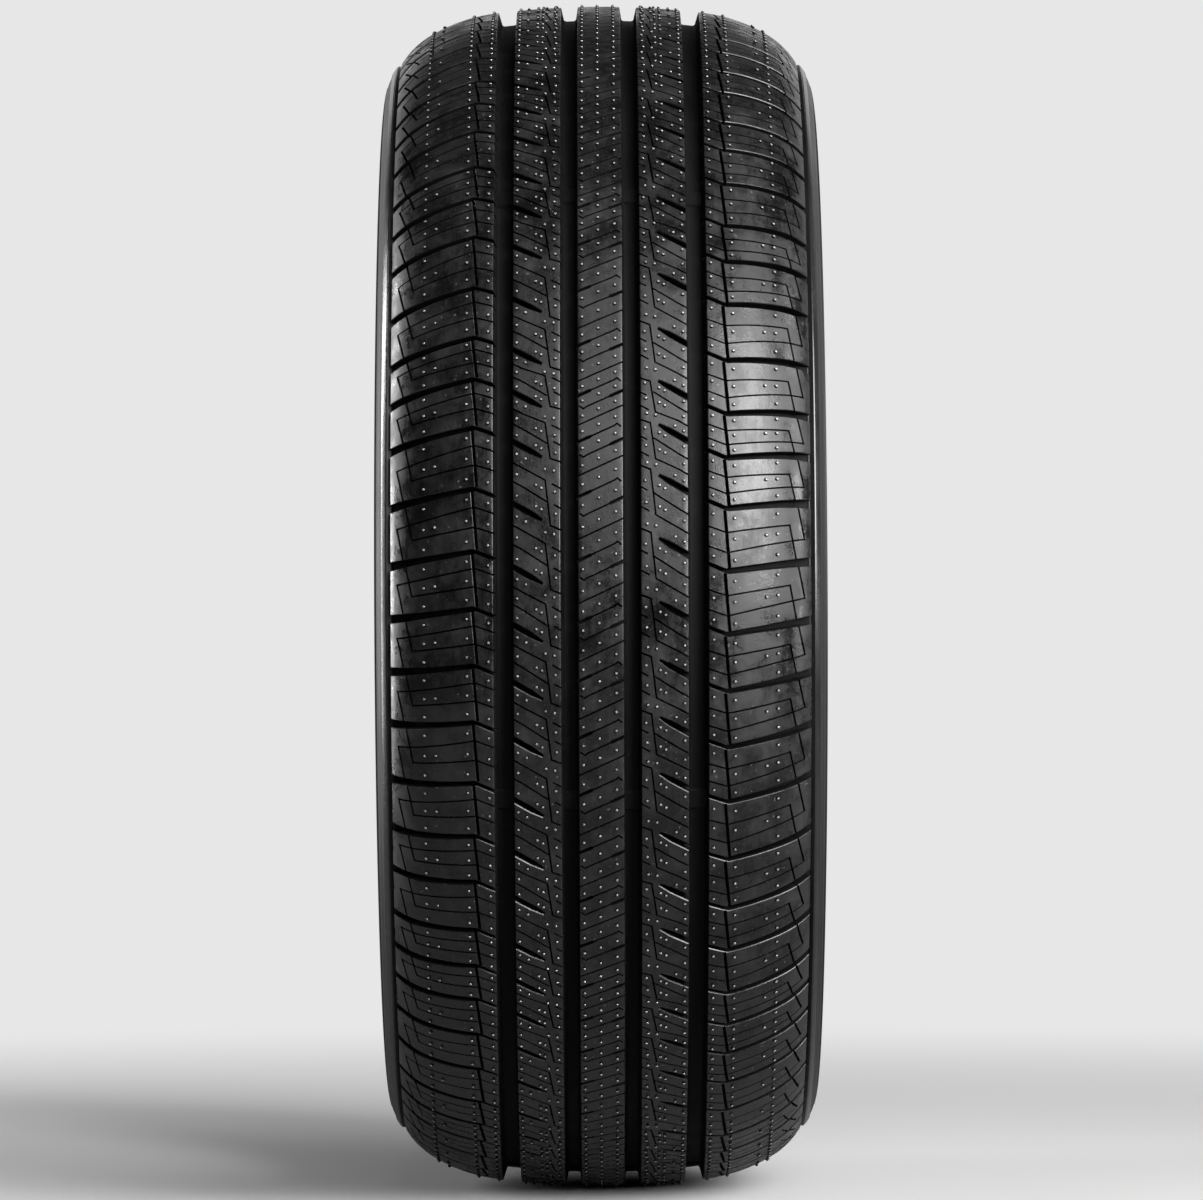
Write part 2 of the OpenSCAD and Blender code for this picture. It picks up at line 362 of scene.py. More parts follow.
def rib(name, inner, outer, across, draft_in=1.2, draft_out=1.2):
    """A straight bar from one distance across the tread to another."""
    bar = storeys(name, across, CELLS_ALONG, 4)
    co = points_of(bar)
    share, level = (co[:, 0] + 1) / 2, np.rint(co[:, 2]).astype(int)
    turn = np.radians([0, 0, 30, 60, 90])
    height = (EDGE_ROUND * (np.sin(turn) - 1) - (RIB_FOOT - EDGE_ROUND) * np.array([1, 0, 0, 0, 0]))[level]
    inset = EDGE_ROUND * (1 - np.cos(turn))
    low = inner + (inset - draft_in * np.array([1, 0, 0, 0, 0]))[level]
    high = outer - (inset - draft_out * np.array([1, 0, 0, 0, 0]))[level]
    put_points(bar, np.column_stack([low + (high - low) * share, SEAM + (co[:, 1] + 1) / 2 * ROUND, height]))
    outwards(bar)
    return bar


ribs = {
    "rib_middle": rib("rib_middle", -INNER_GROOVE[0], INNER_GROOVE[0], 10),
    "rib_left": rib("rib_left", -OUTER_GROOVE[0], -INNER_GROOVE[1], 10),
    "rib_right": rib("rib_right", INNER_GROOVE[1], OUTER_GROOVE[0], 10),
    "shoulder_left": rib("shoulder_left", -TREAD_HALF, -OUTER_GROOVE[1], 22, draft_in=0.3),
    "shoulder_right": rib("shoulder_right", OUTER_GROOVE[1], TREAD_HALF, 22, draft_out=0.3),
}
print("bars:", {name: len(bar.data.polygons) for name, bar in ribs.items()})

# %% [markdown]
# ## Fine cuts of the middle rib
# Thin cuts, called sipes, let the blocks flex and grip on wet roads. On the middle rib they all
# climb to the right at the same slope. One is plain; the others start wide at one groove and end
# in a small hook near the other, and the two kinds are the same shape turned end for end.

# %% Draw the cuts of the middle rib
SIPE, SIPE_DEPTH = 0.95, 5.0
CLIMB = -0.469


def plain_sipe(length):
    return cutter("plain_sipe", [(-14, -14 * CLIMB), (14, 14 * CLIMB)], SIPE, SIPE_DEPTH)


def hooked_sipe(length):
    path = [(-14.2, -14.2 * CLIMB), (-5.4, -5.4 * CLIMB), (-4.6, -4.6 * CLIMB),
            (7.4, 7.4 * CLIMB), (8.9, 8.8 * CLIMB - 0.5), (11.2, 9.0 * CLIMB + 1.3)]
    return cutter("hooked_sipe", path, [1.9, 1.9, SIPE, SIPE, SIPE, SIPE], SIPE_DEPTH)


def third(way):
    """The hooked cut a third of a block on, or a third back where it is turned."""
    def draw(length):
        solid = hooked_sipe(length)
        solid.data.transform(Matrix.Translation((0, length / 3, 0)))
        return solid
    return draw


middle_tools = [
    repeated("plain_sipes", plain_sipe, 0),
    repeated("hooked_sipes", third(1), 0),
    repeated("turned_sipes", third(-1), 0, turned=True),
]
print("cutters of the middle rib:", [len(t.data.polygons) for t in middle_tools])

# %% [markdown]
# ## Cuts of the two ribs beside it
# Each of these ribs has slanted notches that open into the outer groove and stop before the rib's
# far side, and two slanted sipes between each pair. The sipes meet one long steep line, and short
# sipes run from that line to the inner groove. The right rib is the left one turned end for end.

# %% Draw the cuts of the side ribs
NOTCH_SLOPE = math.tan(math.radians(30))
FIRST_SHARE, SECOND_SHARE = 0.341, 0.644


def notch(length):
    reach = [(-49.5, -2.4 * NOTCH_SLOPE), (-47.1, 0), (-37, 10.1 * NOTCH_SLOPE), (-30.9, 16.2 * NOTCH_SLOPE)]
    return cutter("notch", reach, [3.1, 3.1, 2.9, 1.1], 5.5, bevel=0.45, foot=0.5)


def long_sipe(length):
    first, second = FIRST_SHARE * length, SECOND_SHARE * length
    path = [(-49, first - 1.1), (-42.5, first + 2.6), (-41.5, first + 3.2),
            (-29.3, second + (first + 10.1 - second) * 0.15), (-26.6, 1.366 * length),
            (-25.9, 1.372 * length), (-19.5, 1.452 * length)]
    return cutter("long_sipe", path, [1.0, 1.0, SIPE, SIPE, SIPE, 1.05, 1.05], SIPE_DEPTH)


def second_sipe(length):
    second = SECOND_SHARE * length
    path = [(-49, second - 1.1), (-42.5, second + 2.6), (-41.5, second + 3.2), (-28.2, second + 11.8)]
    return cutter("second_sipe", path, [1.0, 1.0, SIPE, SIPE], SIPE_DEPTH)


def short_sipes(length):
    return joined("short_sipes", [
        cutter("short", [(-25.9, 0.70 * length), (-19.5, 0.70 * length + 3.6)], SIPE, SIPE_DEPTH),
        cutter("short", [(-24.9, 1.03 * length), (-19.5, 1.03 * length + 3.0)], SIPE, SIPE_DEPTH)])


side_tools = {}
for side, turned in (("left", False), ("right", True)):
    shift = RIB_SHIFT if turned else -RIB_SHIFT
    side_tools[side] = [repeated(draw.__name__ + "s_" + side, draw, shift, turned)
                        for draw in (notch, long_sipe, second_sipe, short_sipes)]
print("cutters of the side ribs:", [len(t.data.polygons) for t in side_tools["left"]])

# %% [markdown]
# ## Cuts of the shoulders
# A cross groove runs from the outer main groove to the tread edge. It falls a little, jogs at the
# narrow groove that splits the shoulder, and then climbs gently and widens. Two sipes lie between
# each pair of cross grooves, and each ends in a long hook near the tread edge.

# %% Draw the cuts of the shoulders
SPLIT, SHOULDER_IN, SHOULDER_OUT = 67.3, 54.5, 116
STRIP_SLOPE, CROSS_SLOPE = math.tan(math.radians(22)), math.tan(math.radians(8.4))


def cross_groove(length):
    path = [(SHOULDER_IN, -(SPLIT - SHOULDER_IN) * STRIP_SLOPE), (SPLIT - 1.2, -0.4),
            (SPLIT + 0.6, -0.2), (87, -(87 - SPLIT) * CROSS_SLOPE),
            (SHOULDER_OUT, -(SHOULDER_OUT - SPLIT) * CROSS_SLOPE)]
    return cutter("cross_groove", path, [2.0, 2.0, 2.8, 3.3, 5.0], 6.0, bevel=0.35, foot=0.6)


def narrow_groove(length):
    return cutter("narrow_groove", [(65.8, 0.9), (68.3, length - 0.9)], 1.5, 5.0, bevel=0.25)


def first_hook(length):
    s = 0.38 * length
    path = [(SHOULDER_IN, s - 12 * math.tan(math.radians(19))), (66.6, s), (67.6, s),
            (100.6, 0.215 * length), (104.2, 0.785 * length + 0.8)]
    return cutter("first_hook", path, SIPE, SIPE_DEPTH)


def second_hook(length):
    s = 0.70 * length
    path = [(SHOULDER_IN, s - 12 * math.tan(math.radians(20))), (66.6, s), (67.6, s),
            (108.6, 0.43 * length), (105.3, -3.4)]
    return cutter("second_hook", path, SIPE, SIPE_DEPTH)


shoulder_tools = {}
for side, turned in (("right", False), ("left", True)):
    shift = -SHOULDER_SHIFT if turned else SHOULDER_SHIFT
    shoulder_tools[side] = [repeated(draw.__name__ + "s_" + side, draw, shift, turned)
                            for draw in (cross_groove, narrow_groove, first_hook, second_hook)]
print("cutters of a shoulder:", [len(t.data.polygons) for t in shoulder_tools["right"]])

# %% [markdown]
# ## Cutting
# Each set of cutters is taken away from its bar by a Boolean modifier. Cutters of one set never
# touch each other, which keeps every cut clean. The ends of the bars are then deleted, the bar is
# wrapped onto the wheel and its two ends are welded, so that each rib is one closed ring.

# %% Cut, wrap and weld
def cut(bar, tools):
    for tool in tools:
        pick(bar)
        modifier = bar.modifiers.new("cut", "BOOLEAN")
        modifier.operation = "DIFFERENCE"
        modifier.solver = "MANIFOLD"
        modifier.object = tool
        bpy.ops.object.modifier_apply(modifier=modifier.name)
        bpy.data.objects.remove(tool)


def ring(bar):
    """Opens the bar's two ends, wraps it and welds the ends to each other."""
    ends = (SEAM, SEAM + ROUND)
    co = points_of(bar)
    at_end = [np.abs(co[:, 1] - end) < 1e-3 for end in ends]
    pick(bar)
    edit(bar, "FACE")
    bpy.ops.mesh.select_all(action="DESELECT")
    leave()
    for face in bar.data.polygons:
        face.select = any(all(mask[i] for i in face.vertices) for mask in at_end)
    bpy.ops.object.mode_set(mode="EDIT")
    bpy.ops.mesh.delete(type="FACE")
    leave()
    wrap(bar)
    edit(bar, "VERT")
    bpy.ops.mesh.remove_doubles(threshold=5e-6)
    bpy.ops.mesh.normals_make_consistent(inside=False)
    bpy.ops.mesh.select_all(action="DESELECT")
    bpy.ops.mesh.select_non_manifold()
    leave()
    return sum(v.select for v in bar.data.vertices)


cut(ribs["rib_middle"], middle_tools)
for side in ("left", "right"):
    cut(ribs["rib_" + side], side_tools[side])
    cut(ribs["shoulder_" + side], shoulder_tools[side])
for name, bar in ribs.items():
    loose = ring(bar)
    pick(bar)
    bpy.ops.object.shade_smooth_by_angle(angle=math.radians(33))
    print(name, "faces", len(bar.data.polygons), "open points", loose)

# %% [markdown]
# ## Carcass
# What carries the ribs is one body of rubber: the floor of the grooves, the sidewalls with their
# rim guard, the beads that grip the rim, and the smooth liner inside. Its section is a closed loop
# of points that is spun round the axle. The loop uses the CAD model's sizes, and adds the step
# beside the tread blocks, a raised band with fine rings, and soft corners in the grooves.

# %% Draw the section
def at_depth(x, depth):
    radius, tilt = crown(x)
    return np.array([x - depth * np.sin(tilt), radius - depth * np.cos(tilt)])


def arc(mid, radius, from_deg, to_deg, count):
    """Points of an arc, its angles measured from straight up towards the sidewall."""
    turns = np.radians(np.linspace(from_deg, to_deg, count))
    return [np.array([mid[0] + radius * math.sin(t), mid[1] + radius * math.cos(t)]) for t in turns]


UNDER, GROOVE_DEPTH = 6.9, 8.0
GROOVE_CORNER = ((1.0, UNDER), (1.35, 7.35), (1.8, 7.75), (2.6, GROOVE_DEPTH))
half = [at_depth(x, UNDER) for x in (0, 6.5)]
for near, far in (INNER_GROOVE, OUTER_GROOVE):
    half += [at_depth(near + d, depth) for d, depth in GROOVE_CORNER]
    half += [at_depth((near + far) / 2, GROOVE_DEPTH)]
    half += [at_depth(far - d, depth) for d, depth in reversed(GROOVE_CORNER)]
    if near == INNER_GROOVE[0]:
        half += [at_depth(34, UNDER)]
half += [at_depth(x, UNDER) for x in (66, 76, 85, 92, 98, 103, 107)]

edge_radius, edge_tilt = (float(v) for v in crown(TREAD_HALF))
edge = np.array([TREAD_HALF, edge_radius])
up = np.array([math.sin(edge_tilt), math.cos(edge_tilt)])
down_wall = np.array([math.cos(edge_tilt), -math.sin(edge_tilt)])
half += [edge - 2.1 * up - 1.4 * down_wall, edge - 2.1 * up + 0.8 * down_wall,
         edge - 1.7 * up + 1.3 * down_wall]

UPPER_R = 28.0
upper_from = math.degrees(math.asin(1 - (WIDE_HALF - TREAD_HALF) / UPPER_R))
WIDE_R = edge_radius - UPPER_R * math.cos(math.radians(upper_from))
upper_mid = (WIDE_HALF - UPPER_R, WIDE_R)
half += arc(upper_mid, UPPER_R + 0.3, upper_from + 4.4, upper_from + 4.9, 2)
half += arc(upper_mid, UPPER_R + 0.6, upper_from + 5.8, upper_from + 14.5, 7)
half += arc(upper_mid, UPPER_R, upper_from + 17.4, 72, 4)
for ring_at in (74, 77, 80, 83):
    half += arc(upper_mid, UPPER_R, ring_at, ring_at + 0.9, 2)
    half += arc(upper_mid, UPPER_R + 0.22, ring_at + 1.3, ring_at + 1.7, 2)
half += arc(upper_mid, UPPER_R, 86, 90, 3)
print("points so far", len(half), "widest radius", round(WIDE_R, 1))

# %% Lower wall, bead and liner
GUARD_IN, GUARD_H, GUARD_R, HEEL_R, HOLLOW_R = 8.9, 20.2, 4.0, 5.0, 3.5
CROWN_T, SIDE_T = 16.5, 9
guard_mid = np.array([WIDE_HALF - GUARD_IN, SEAT_R + GUARD_H])
hollow_mid, heel_mid = (105.0, SEAT_R + 12.7), (96.5, SEAT_R + HEEL_R)
drop = WIDE_R - guard_mid[1]
LOWER_R = (drop ** 2 + GUARD_IN ** 2) / (2 * GUARD_IN)
lower_mid = (WIDE_HALF - LOWER_R, WIDE_R)
lower_to = 90 + math.degrees(math.asin((drop - GUARD_R) / LOWER_R))
lower = arc(lower_mid, LOWER_R, 91.5, lower_to, 16)
for i in (3, 4, 9, 12, 13):
    lower[i] = lower[i] + np.array([0.35, 0])
half += lower
half += arc(guard_mid, GUARD_R, 70, 180, 8)
half += arc(hollow_mid, HOLLOW_R, 0, -90, 6)
half += arc(heel_mid, HEEL_R, 90, 180, 7)
half += [np.array(p) for p in ((92, SEAT_R), (86, SEAT_R), (81.5, SEAT_R), (80.4, SEAT_R + 0.5),
                               (80, SEAT_R + 1.5), (80.6, SEAT_R + 3.6), (83, SEAT_R + 6))]
LINER_R = 48.0
liner_mid_x = WIDE_HALF - SIDE_T - LINER_R


def liner_at(x):
    """Radius of the liner's middle arc, which keeps the crown's thickness."""
    return crown_mid[1] + math.sqrt((CROWN_R - CROWN_T) ** 2 - x ** 2)


liner_top = liner_at(liner_mid_x)
liner_mid = (liner_mid_x, liner_top - LINER_R)
apex = 90 + math.degrees(math.asin((liner_mid[1] - SEAT_R - 30) / LINER_R))
half += [np.array([94, SEAT_R + 17.0])]
half += arc(liner_mid, LINER_R, apex, 0, 16)
half += [np.array([x, liner_at(x)]) for x in (48, 32, 16)]
inner_middle = np.array([0, OUTER_R - CROWN_T])
other = [p * np.array([-1, 1]) for p in half[:0:-1]]
loop = np.array(half + [inner_middle] + other)
print("section of", len(loop), "points")

# %% Spin the section
SPIN_STEPS = 300
pick()
bpy.ops.mesh.primitive_circle_add(vertices=len(loop), radius=1, fill_type="NOTHING")
carcass = bpy.context.object
carcass.name = "carcass"
put_points(carcass, np.column_stack([np.zeros(len(loop)), loop[:, 0], loop[:, 1]]) / 1000)
edit(carcass)
bpy.ops.mesh.spin(steps=SPIN_STEPS, angle=2 * math.pi, center=(0, 0, 0), axis=(0, 1, 0))
bpy.ops.mesh.select_all(action="SELECT")
bpy.ops.mesh.remove_doubles(threshold=1e-5)
bpy.ops.mesh.normals_make_consistent(inside=False)
leave()
bpy.ops.object.shade_smooth_by_angle(angle=math.radians(26))
print("carcass faces", len(carcass.data.polygons))

# %% [markdown]
# ## Wear bars
# Small bridges cross the main grooves at six places round the tyre. When the tread has worn down
# to them, the tyre is done. Each groove has one bevelled block; the rest are copies of it, wrapped
# as the ribs are.

# %% Set the wear bars
def wear_bar(middle, width):
    bar = storeys("wear_bar", 3, 3, 2)
    co = points_of(bar)
    level = np.rint(co[:, 2]).astype(int)
    height, shrink = np.array([-8.5, -8.0, -6.4])[level], np.array([0, 0, 1.2])[level]
    put_points(bar, np.column_stack([middle + co[:, 0] * width / 2, co[:, 1] * (6 - shrink), height]))
    outwards(bar)
    return bar


WEAR_PLACES = 6
masters = [wear_bar(side * middle, width)
           for side in (-1, 1) for middle, width in ((16.65, 8.6), (51.8, 9.8))]
bars = [copied(master, ROUND * (k + 0.32) / WEAR_PLACES, False)
        for k in range(WEAR_PLACES) for master in masters]
for master in masters:
    bpy.data.objects.remove(master)
wear_bars = joined("wear_bars", bars)
wrap(wear_bars)
outwards(wear_bars)
bpy.ops.object.shade_smooth_by_angle(angle=math.radians(28))
print("wear bars:", len(bars))

# %% [markdown]
# ## Vent nubs
# Air leaves the mould through tiny holes, and the rubber that follows it leaves short nubs, cut
# off after moulding. They stand in rows round the tyre, one on each strip between two cuts. One
# small six-sided cone with a round head is copied to all places on the flat drawing and wrapped
# with the same rule. Its head is painted pale as a painted highlight, and its side near-black as
# painted shade around it.

# %% Place the vent nubs
def nub_places():
    """(across, along) of every nub, from rows that follow the slopes of the cuts."""
    places = []
    for k in range(COUNT):
        start, length = block(k)
        back = block(k - 1)[1]
        for part, share in enumerate((0.17, 0.5, 0.84)):
            for x in (-9.5, -0.9, 8.0):
                places.append((x, start + share * length + x * CLIMB))
            for turned in (False, True):
                span, way = (back, -1) if turned else (length, 1)
                for x in (59.6, 71, 93.8) + ((87.8,) if part == 1 else ()):
                    slope = (x - SPLIT) * (-0.16 if x > SPLIT else 0.36)
                    places.append((way * x, start + way * (SHOULDER_SHIFT + share * span + slope)))
                for x in (-44.3, -34.2 if part else -39.6, -31.3 if part else -29.4, -24.7 + 0.5 * part):
                    rise = (x + 47.1) * (0.577 if x < -28 else 0.5)
                    places.append((way * x, start + way * (-RIB_SHIFT + share * span + rise)))
    return places


NUB_LIFT = 0.25
pick()
bpy.ops.mesh.primitive_cone_add(vertices=6, radius1=1.35, radius2=0.6, depth=2.0)
peg = bpy.context.object
edit(peg, "FACE")
bpy.ops.mesh.select_all(action="DESELECT")
leave()
for face in peg.data.polygons:
    face.select = face.normal.z > 0.9
bpy.ops.object.mode_set(mode="EDIT")
bpy.ops.mesh.bevel(offset=0.3, segments=2)
leave()
pegs = []
for x, s in nub_places():
    twin = copied(peg, s, False)
    twin.data.transform(Matrix.Translation((x, 0, NUB_LIFT)))
    pegs.append(twin)
bpy.data.objects.remove(peg)
nubs = joined("vent_nubs", pegs)
wrap(nubs)
outwards(nubs)
bpy.ops.object.shade_smooth_by_angle(angle=math.radians(30))
print("vent nubs:", len(pegs), "faces", len(nubs.data.polygons))

# %% [markdown]
# ## Rubber
# All of the tyre is black rubber, but its parts look different: patchy satin tread faces fresh from
# the mould, dull walls and floors of the cuts painted darker than the tread as painted shade, even sidewalls
# and a dull liner.
# Three effects are shared, so each is a node group: the fine grain of the skin, a cloudy bloom with
# dust that makes patches and streaks greyer and duller, and the turned rings of the sidewall.
# Materials place the groups with their own values.

# %% Helper for node groups
def group(name, ins, outs):
    """A shader node group with named inputs and outputs, and its two end nodes."""
    tree = bpy.data.node_groups.new(name, "ShaderNodeTree")
    for label, kind, value in ins:
        socket = tree.interface.new_socket(name=label, in_out="INPUT", socket_type=kind)
        socket.default_value = value
    for label, kind in outs:
        tree.interface.new_socket(name=label, in_out="OUTPUT", socket_type=kind)
    return tree, tree.nodes.new("NodeGroupInput"), tree.nodes.new("NodeGroupOutput")


def node(tree, kind, links=(), **values):
    """A node with its settings, and links given as (own input, other node's output)."""
    made = tree.nodes.new(kind)
    for key, value in values.items():
        setattr(made, key, value)
    for socket, source in links:
        if isinstance(source, bpy.types.NodeSocket):
            tree.links.new(source, made.inputs[socket])
        else:
            made.inputs[socket].default_value = source
    return made


F, C = "NodeSocketFloat", "NodeSocketColor"

# %% Skin grain
grain, g_in, g_out = group("rubber_grain", [("Scale", F, 900.0), ("Coarse", F, 120.0)], [("Height", F)])
spot = node(grain, "ShaderNodeTexCoord")
here = spot.outputs["Object"]
fine = node(grain, "ShaderNodeTexNoise", [("Vector", here), ("Scale", g_in.outputs["Scale"]),
                                          ("Detail", 3.0), ("Roughness", 0.6)])
coarse = node(grain, "ShaderNodeTexNoise", [("Vector", here), ("Scale", g_in.outputs["Coarse"]),
                                            ("Detail", 2.0)])
both = node(grain, "ShaderNodeMath", [(0, coarse.outputs["Fac"]), (1, 1.4), (2, fine.outputs["Fac"])],
            operation="MULTIPLY_ADD")
grain.links.new(both.outputs[0], g_out.inputs["Height"])
print("group", grain.name)

# %% Bloom and dust
bloom, b_in, b_out = group("rubber_bloom", [
    ("Dark", C, (0.02, 0.02, 0.021, 1)), ("Grey", C, (0.04, 0.04, 0.042, 1)), ("Scale", F, 14.0),
    ("Smooth", F, 0.42), ("Dull", F, 0.58), ("Dust", F, 0.3), ("Streak", F, 0.0)],
    [("Color", C), ("Roughness", F)])
spot = node(bloom, "ShaderNodeTexCoord")
here = spot.outputs["Object"]
cloud = node(bloom, "ShaderNodeTexNoise", [("Vector", here), ("Scale", b_in.outputs["Scale"]),
                                           ("Detail", 8.0), ("Roughness", 0.74)])
drawn = node(bloom, "ShaderNodeVectorMath", [(0, here), (1, (45, 900, 45))], operation="MULTIPLY")
lines = node(bloom, "ShaderNodeTexNoise", [("Vector", drawn.outputs[0]), ("Scale", 1.0), ("Detail", 3.0)])
lined = node(bloom, "ShaderNodeMath", [(0, lines.outputs["Fac"]), (1, 0.5)], operation="SUBTRACT")
uneven = node(bloom, "ShaderNodeMath", [(0, lined.outputs[0]), (1, b_in.outputs["Streak"]),
                                        (2, cloud.outputs["Fac"])], operation="MULTIPLY_ADD")
cloudy = node(bloom, "ShaderNodeMapRange", [("Value", uneven.outputs[0]), ("From Min", 0.38),
                                            ("From Max", 0.62)])
tone = node(bloom, "ShaderNodeMix", [("Factor", cloudy.outputs["Result"]), (6, b_in.outputs["Dark"]),
                                     (7, b_in.outputs["Grey"])], data_type="RGBA")
speck = node(bloom, "ShaderNodeTexNoise", [("Vector", here), ("Scale", 420.0), ("Detail", 2.0)])
specks = node(bloom, "ShaderNodeMapRange", [("Value", speck.outputs["Fac"]), ("From Min", 0.69),
                                            ("From Max", 0.76)])
dusty = node(bloom, "ShaderNodeMath", [(0, specks.outputs["Result"]), (1, b_in.outputs["Dust"])],
             operation="MULTIPLY")
dusted = node(bloom, "ShaderNodeMix", [("Factor", dusty.outputs[0]), (6, tone.outputs[2]),
                                       (7, (0.20, 0.20, 0.195, 1))], data_type="RGBA")
rough = node(bloom, "ShaderNodeMapRange", [("Value", cloudy.outputs["Result"]),
                                           ("To Min", b_in.outputs["Smooth"]),
                                           ("To Max", b_in.outputs["Dull"])])
bloom.links.new(dusted.outputs[2], b_out.inputs["Color"])
bloom.links.new(rough.outputs["Result"], b_out.inputs["Roughness"])
print("group", bloom.name)

# %% Rings of the sidewall
rings, r_in, r_out = group("turned_rings", [("Pitch", F, 0.0012), ("Depth", F, 1.0)], [("Height", F)])
spot = node(rings, "ShaderNodeTexCoord")
flat = node(rings, "ShaderNodeVectorMath", [(0, spot.outputs["Object"]), (1, (1, 0, 1))],
            operation="MULTIPLY")
out_from_axle = node(rings, "ShaderNodeVectorMath", [(0, flat.outputs[0])], operation="LENGTH")
turns = node(rings, "ShaderNodeMath", [(0, out_from_axle.outputs["Value"]), (1, r_in.outputs["Pitch"])],
             operation="DIVIDE")
wave = node(rings, "ShaderNodeMath", [(0, turns.outputs[0]), (1, 0.5)], operation="PINGPONG")
deep = node(rings, "ShaderNodeMath", [(0, wave.outputs[0]), (1, r_in.outputs["Depth"])], operation="MULTIPLY")
rings.links.new(deep.outputs[0], r_out.inputs["Height"])
print("group", rings.name)

# %% The rubber materials
def rubber(name, dark, grey, smooth, dull, dust=0.3, scale=14.0, grain_scale=900.0, bump=0.25,
           ring_depth=0.0, shine=0.5, streak=0.0):
    material = bpy.data.materials.new(name)
    material.use_nodes = True
    tree = material.node_tree
    shader = tree.nodes["Principled BSDF"]
    tone = node(tree, "ShaderNodeGroup", node_tree=bloom)
    for label, value in (("Dark", (*dark, 1)), ("Grey", (*grey, 1)), ("Scale", scale), ("Smooth", smooth),
                         ("Dull", dull), ("Dust", dust), ("Streak", streak)):
        tone.inputs[label].default_value = value
    skin = node(tree, "ShaderNodeGroup", node_tree=grain)
    skin.inputs["Scale"].default_value = grain_scale
    skin.inputs["Coarse"].default_value = grain_scale / 7
    height = skin.outputs["Height"]
    if ring_depth:
        turned = node(tree, "ShaderNodeGroup", node_tree=rings)
        turned.inputs["Depth"].default_value = ring_depth
        height = node(tree, "ShaderNodeMath", [(0, height), (1, turned.outputs["Height"])]).outputs[0]
    relief = node(tree, "ShaderNodeBump", [("Height", height), ("Strength", bump), ("Distance", 0.0003)])
    tree.links.new(tone.outputs["Color"], shader.inputs["Base Color"])
    tree.links.new(tone.outputs["Roughness"], shader.inputs["Roughness"])
    tree.links.new(relief.outputs["Normal"], shader.inputs["Normal"])
    shader.inputs["IOR"].default_value = 1.5
    shader.inputs["Specular IOR Level"].default_value = shine
    return material


tread_rubber = rubber("tread_rubber", (0.003, 0.003, 0.0032), (0.014, 0.014, 0.0144), 0.17, 0.50,
                      scale=45, bump=0.35, shine=0.45, streak=0.12)
# Walls and floors of the cuts, groove floors, wear bars and nub sides are painted near-black, darker than the
# tread, as painted shade in the recesses.
painted_shade_groove_rubber = rubber("painted_shade_groove_rubber", (0.002, 0.002, 0.002), (0.004, 0.004, 0.004), 0.60, 0.75, dust=0.05,
                       shine=0.1)
side_rubber = rubber("side_rubber", (0.004, 0.004, 0.0042), (0.008, 0.008, 0.0083), 0.36, 0.48, dust=0.1,
                     scale=8.0, bump=0.18, ring_depth=0.5, shine=0.22)
edge_rubber = rubber("edge_rubber", (0.006, 0.006, 0.0062), (0.010, 0.010, 0.0103), 0.20, 0.28, dust=0.0,
                     bump=0.08, shine=0.7)
liner_rubber = rubber("liner_rubber", (0.018, 0.018, 0.018), (0.032, 0.032, 0.031), 0.5, 0.66, dust=0.2,
                      scale=20)
# The nub head is painted pale grey, far lighter than the tread, as a painted highlight on the small heads.
painted_highlight_nub_rubber = rubber("painted_highlight_nub_rubber", (0.13, 0.13, 0.13), (0.30, 0.30, 0.30), 0.12, 0.22, dust=0.0,
                    scale=300, bump=0.05, shine=0.8)
print("materials:", [m.name for m in bpy.data.materials if m.users or m.name.endswith("rubber")])

# %% [markdown]
# ## Dress the pieces
# Finishes go by place. On a rib, every face that lies below the tread face is the wall or the floor
# of a cut, dull and painted near-black as painted shade. On a nub, the head is painted paler than its
# side as a painted highlight, and the side near-black as painted shade. Groove floors, the smooth band
# beside the tread edge, sidewalls and liner are faces of one mesh, told apart by their distance
# from the axle, from the middle, and by the way they face.

# %% Assign the materials
def below_tread(thing):
    """How far each face's middle lies under the tread face, in millimetres."""
    middle = np.empty(len(thing.data.polygons) * 3)
    thing.data.polygons.foreach_get("center", middle)
    middle = middle.reshape(-1, 3) * 1000
    return crown(middle[:, 1])[0] - np.hypot(middle[:, 0], middle[:, 2])


WALL_STARTS, HEAD_STARTS = 0.5, -1.0
# Faces below the tread face, the walls and floors of the cuts, take the near-black painted shade.
for bar in ribs.values():
    bar.data.materials.clear()
    for material in (tread_rubber, painted_shade_groove_rubber):
        bar.data.materials.append(material)
    bar.data.polygons.foreach_set("material_index", (below_tread(bar) > WALL_STARTS).astype(int))
# The wear bars down in the grooves take the same painted shade.
wear_bars.data.materials.append(painted_shade_groove_rubber)
# Nub sides take the near-black painted shade, and nub heads take the pale painted highlight.
for material in (painted_shade_groove_rubber, painted_highlight_nub_rubber):
    nubs.data.materials.append(material)
nubs.data.polygons.foreach_set("material_index", (below_tread(nubs) < HEAD_STARTS).astype(int))
for material in (side_rubber, painted_shade_groove_rubber, liner_rubber, edge_rubber):
    carcass.data.materials.append(material)
GROOVES_END, BAND_FROM, BAND_TO, LINER_END, LINER_FROM = 0.1115, 0.1144, 0.1175, 0.1126, 0.2375
# The carcass's groove floors take the near-black painted shade of the cuts.
for face in carcass.data.polygons:
    x, y, z = face.center
    away = math.hypot(x, z)
    outward = (face.normal.x * x + face.normal.z * z) / away
    if abs(y) < GROOVES_END and away > 0.29 and outward > 0.2:
        face.material_index = 1
    elif outward < 0.05 and abs(y) < LINER_END and away > LINER_FROM:
        face.material_index = 2
    elif BAND_FROM < abs(y) < BAND_TO and away > 0.3:
        face.material_index = 3
finishes = [face.material_index for face in carcass.data.polygons]
print("carcass faces by finish:", [finishes.count(i) for i in range(4)])

# %% [markdown]
# ## The sheet's finish
# The floor is plain matt paper, so it keeps the tyre's shadow. To the camera it is pale, while the
# light that it throws back at the tyre is that of a grey floor, which keeps the lower half dark.
# Away from the tyre the paper turns into the even tone of the room for the camera, and behind the
# tyre for mirrored rays too, so the background is pale without more light on the tyre.

